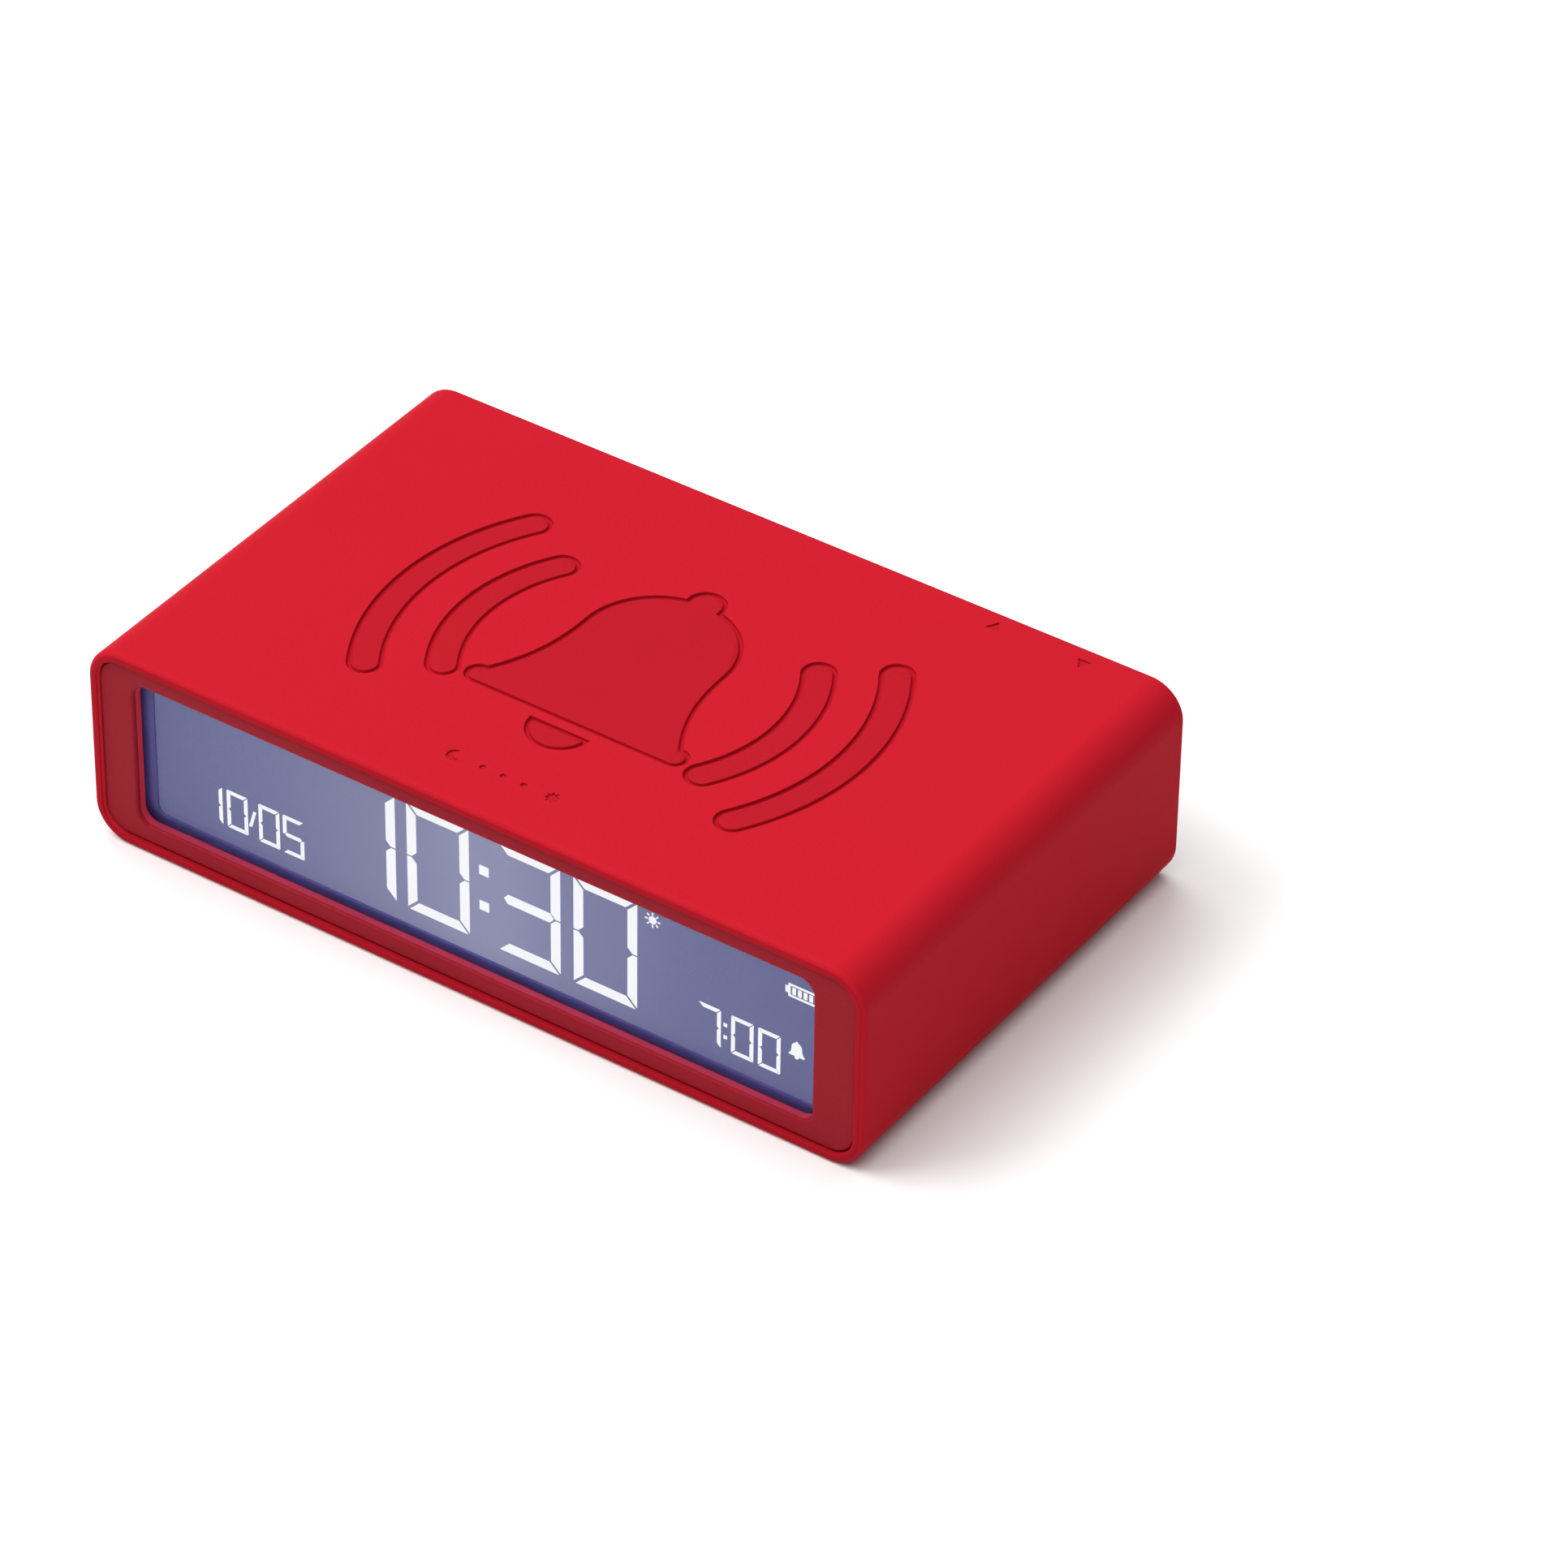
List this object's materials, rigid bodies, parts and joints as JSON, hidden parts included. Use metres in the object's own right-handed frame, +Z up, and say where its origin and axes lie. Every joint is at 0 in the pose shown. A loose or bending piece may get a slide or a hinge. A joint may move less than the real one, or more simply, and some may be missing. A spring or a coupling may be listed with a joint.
{
  "type": "travel alarm clock",
  "caption": "Flip-over travel alarm clock: a rounded rubber-coated block with a recessed digital display in front and push keys and a charging port behind.",
  "frame": {"origin": "centre of the underside, on the surface that the clock stands on", "axes": "+Z up, the display faces -Y, +X along the width, to the right when seen from the front"},
  "size_m": [0.083, 0.0506, 0.0211],
  "materials": {
    "case_coating": "soft-touch rubber coating over ABS, matt",
    "panel_plastic": "fine-grained moulded plastic, matt",
    "key_rubber": "soft-touch, matt",
    "lens_clear": "clear, polished",
    "display_glass": "clear, blue-tinted by the film",
    "display_film": "blue film",
    "display_figures": "lit white figures",
    "white_plastic": "moulded",
    "clear_plastic": "clear acrylic",
    "black_plastic": "moulded",
    "foam": "closed-cell foam",
    "circuit_board": "solder mask",
    "ribbon_film": "polyimide film",
    "steel": "nickel-plated",
    "copper": "rolled foil",
    "cell_foil": "laminated pouch foil",
    "wire_red": "insulation",
    "wire_black": "insulation"
  },
  "bodies": {
    "case": {"case_sleeve": "case_coating", "front_bezel": "panel_plastic", "display_lens": "lens_clear", "lens_gasket": "foam", "front_polarizer": "display_film", "front_glass": "display_glass", "display_segments": "display_figures", "cell_seal": "white_plastic", "rear_glass": "display_glass", "rear_polarizer": "display_film", "diffuser_film": "white_plastic", "light_guide": "clear_plastic", "reflector_film": "white_plastic", "backlight_board": "circuit_board", "backlight_leds": "white_plastic", "display_frame": "white_plastic", "display_ribbon": "ribbon_film", "ribbon_socket": "white_plastic", "main_board": "circuit_board", "clock_chip": "black_plastic", "charging_chip": "black_plastic", "quartz_crystal": "steel", "small_chips": "black_plastic", "tilt_can": "steel", "tilt_base": "black_plastic", "touch_foil_top": "copper", "touch_foil_bottom": "copper", "contact_leaves": "copper", "battery_cell": "cell_foil", "battery_pad": "foam", "lead_red": "wire_red", "lead_black": "wire_black", "battery_plug": "white_plastic", "battery_socket": "white_plastic", "chassis": "black_plastic", "board_screws": "steel", "link_ribbon": "ribbon_film", "link_connectors": "black_plastic", "key_board": "circuit_board", "switch_bases": "black_plastic", "switch_covers": "steel", "usb_shell": "steel", "usb_tongue": "black_plastic", "charge_light": "white_plastic", "light_pipe": "clear_plastic", "sounder_frame": "black_plastic", "sounder_magnet": "steel", "sounder_coil": "copper", "sounder_diaphragm": "black_plastic", "rear_panel": "panel_plastic", "panel_screws": "steel"},
    "key_left_outer": {"key_left_outer": "key_rubber", "plunger_left_outer": "black_plastic"},
    "key_left_inner": {"key_left_inner": "key_rubber", "plunger_left_inner": "black_plastic"},
    "key_right_inner": {"key_right_inner": "key_rubber", "plunger_right_inner": "black_plastic"},
    "key_right_outer": {"key_right_outer": "key_rubber", "plunger_right_outer": "black_plastic"},
    "ball": {"tilt_ball": "steel"}
  },
  "joints": [
    {"name": "press_left_outer", "type": "slide", "parent": "case", "child": "key_left_outer", "axis": [0, -1, 0], "range_m": [0, 0.00035], "stiffness_N_per_m": 1500},
    {"name": "press_left_inner", "type": "slide", "parent": "case", "child": "key_left_inner", "axis": [0, -1, 0], "range_m": [0, 0.00035], "stiffness_N_per_m": 1500},
    {"name": "press_right_inner", "type": "slide", "parent": "case", "child": "key_right_inner", "axis": [0, -1, 0], "range_m": [0, 0.00035], "stiffness_N_per_m": 1500},
    {"name": "press_right_outer", "type": "slide", "parent": "case", "child": "key_right_outer", "axis": [0, -1, 0], "range_m": [0, 0.00035], "stiffness_N_per_m": 1500},
    {"name": "tilt_roll", "type": "slide", "parent": "case", "child": "ball", "axis": [0, 0, 1], "range_m": [0, 0.00175]}
  ]
}
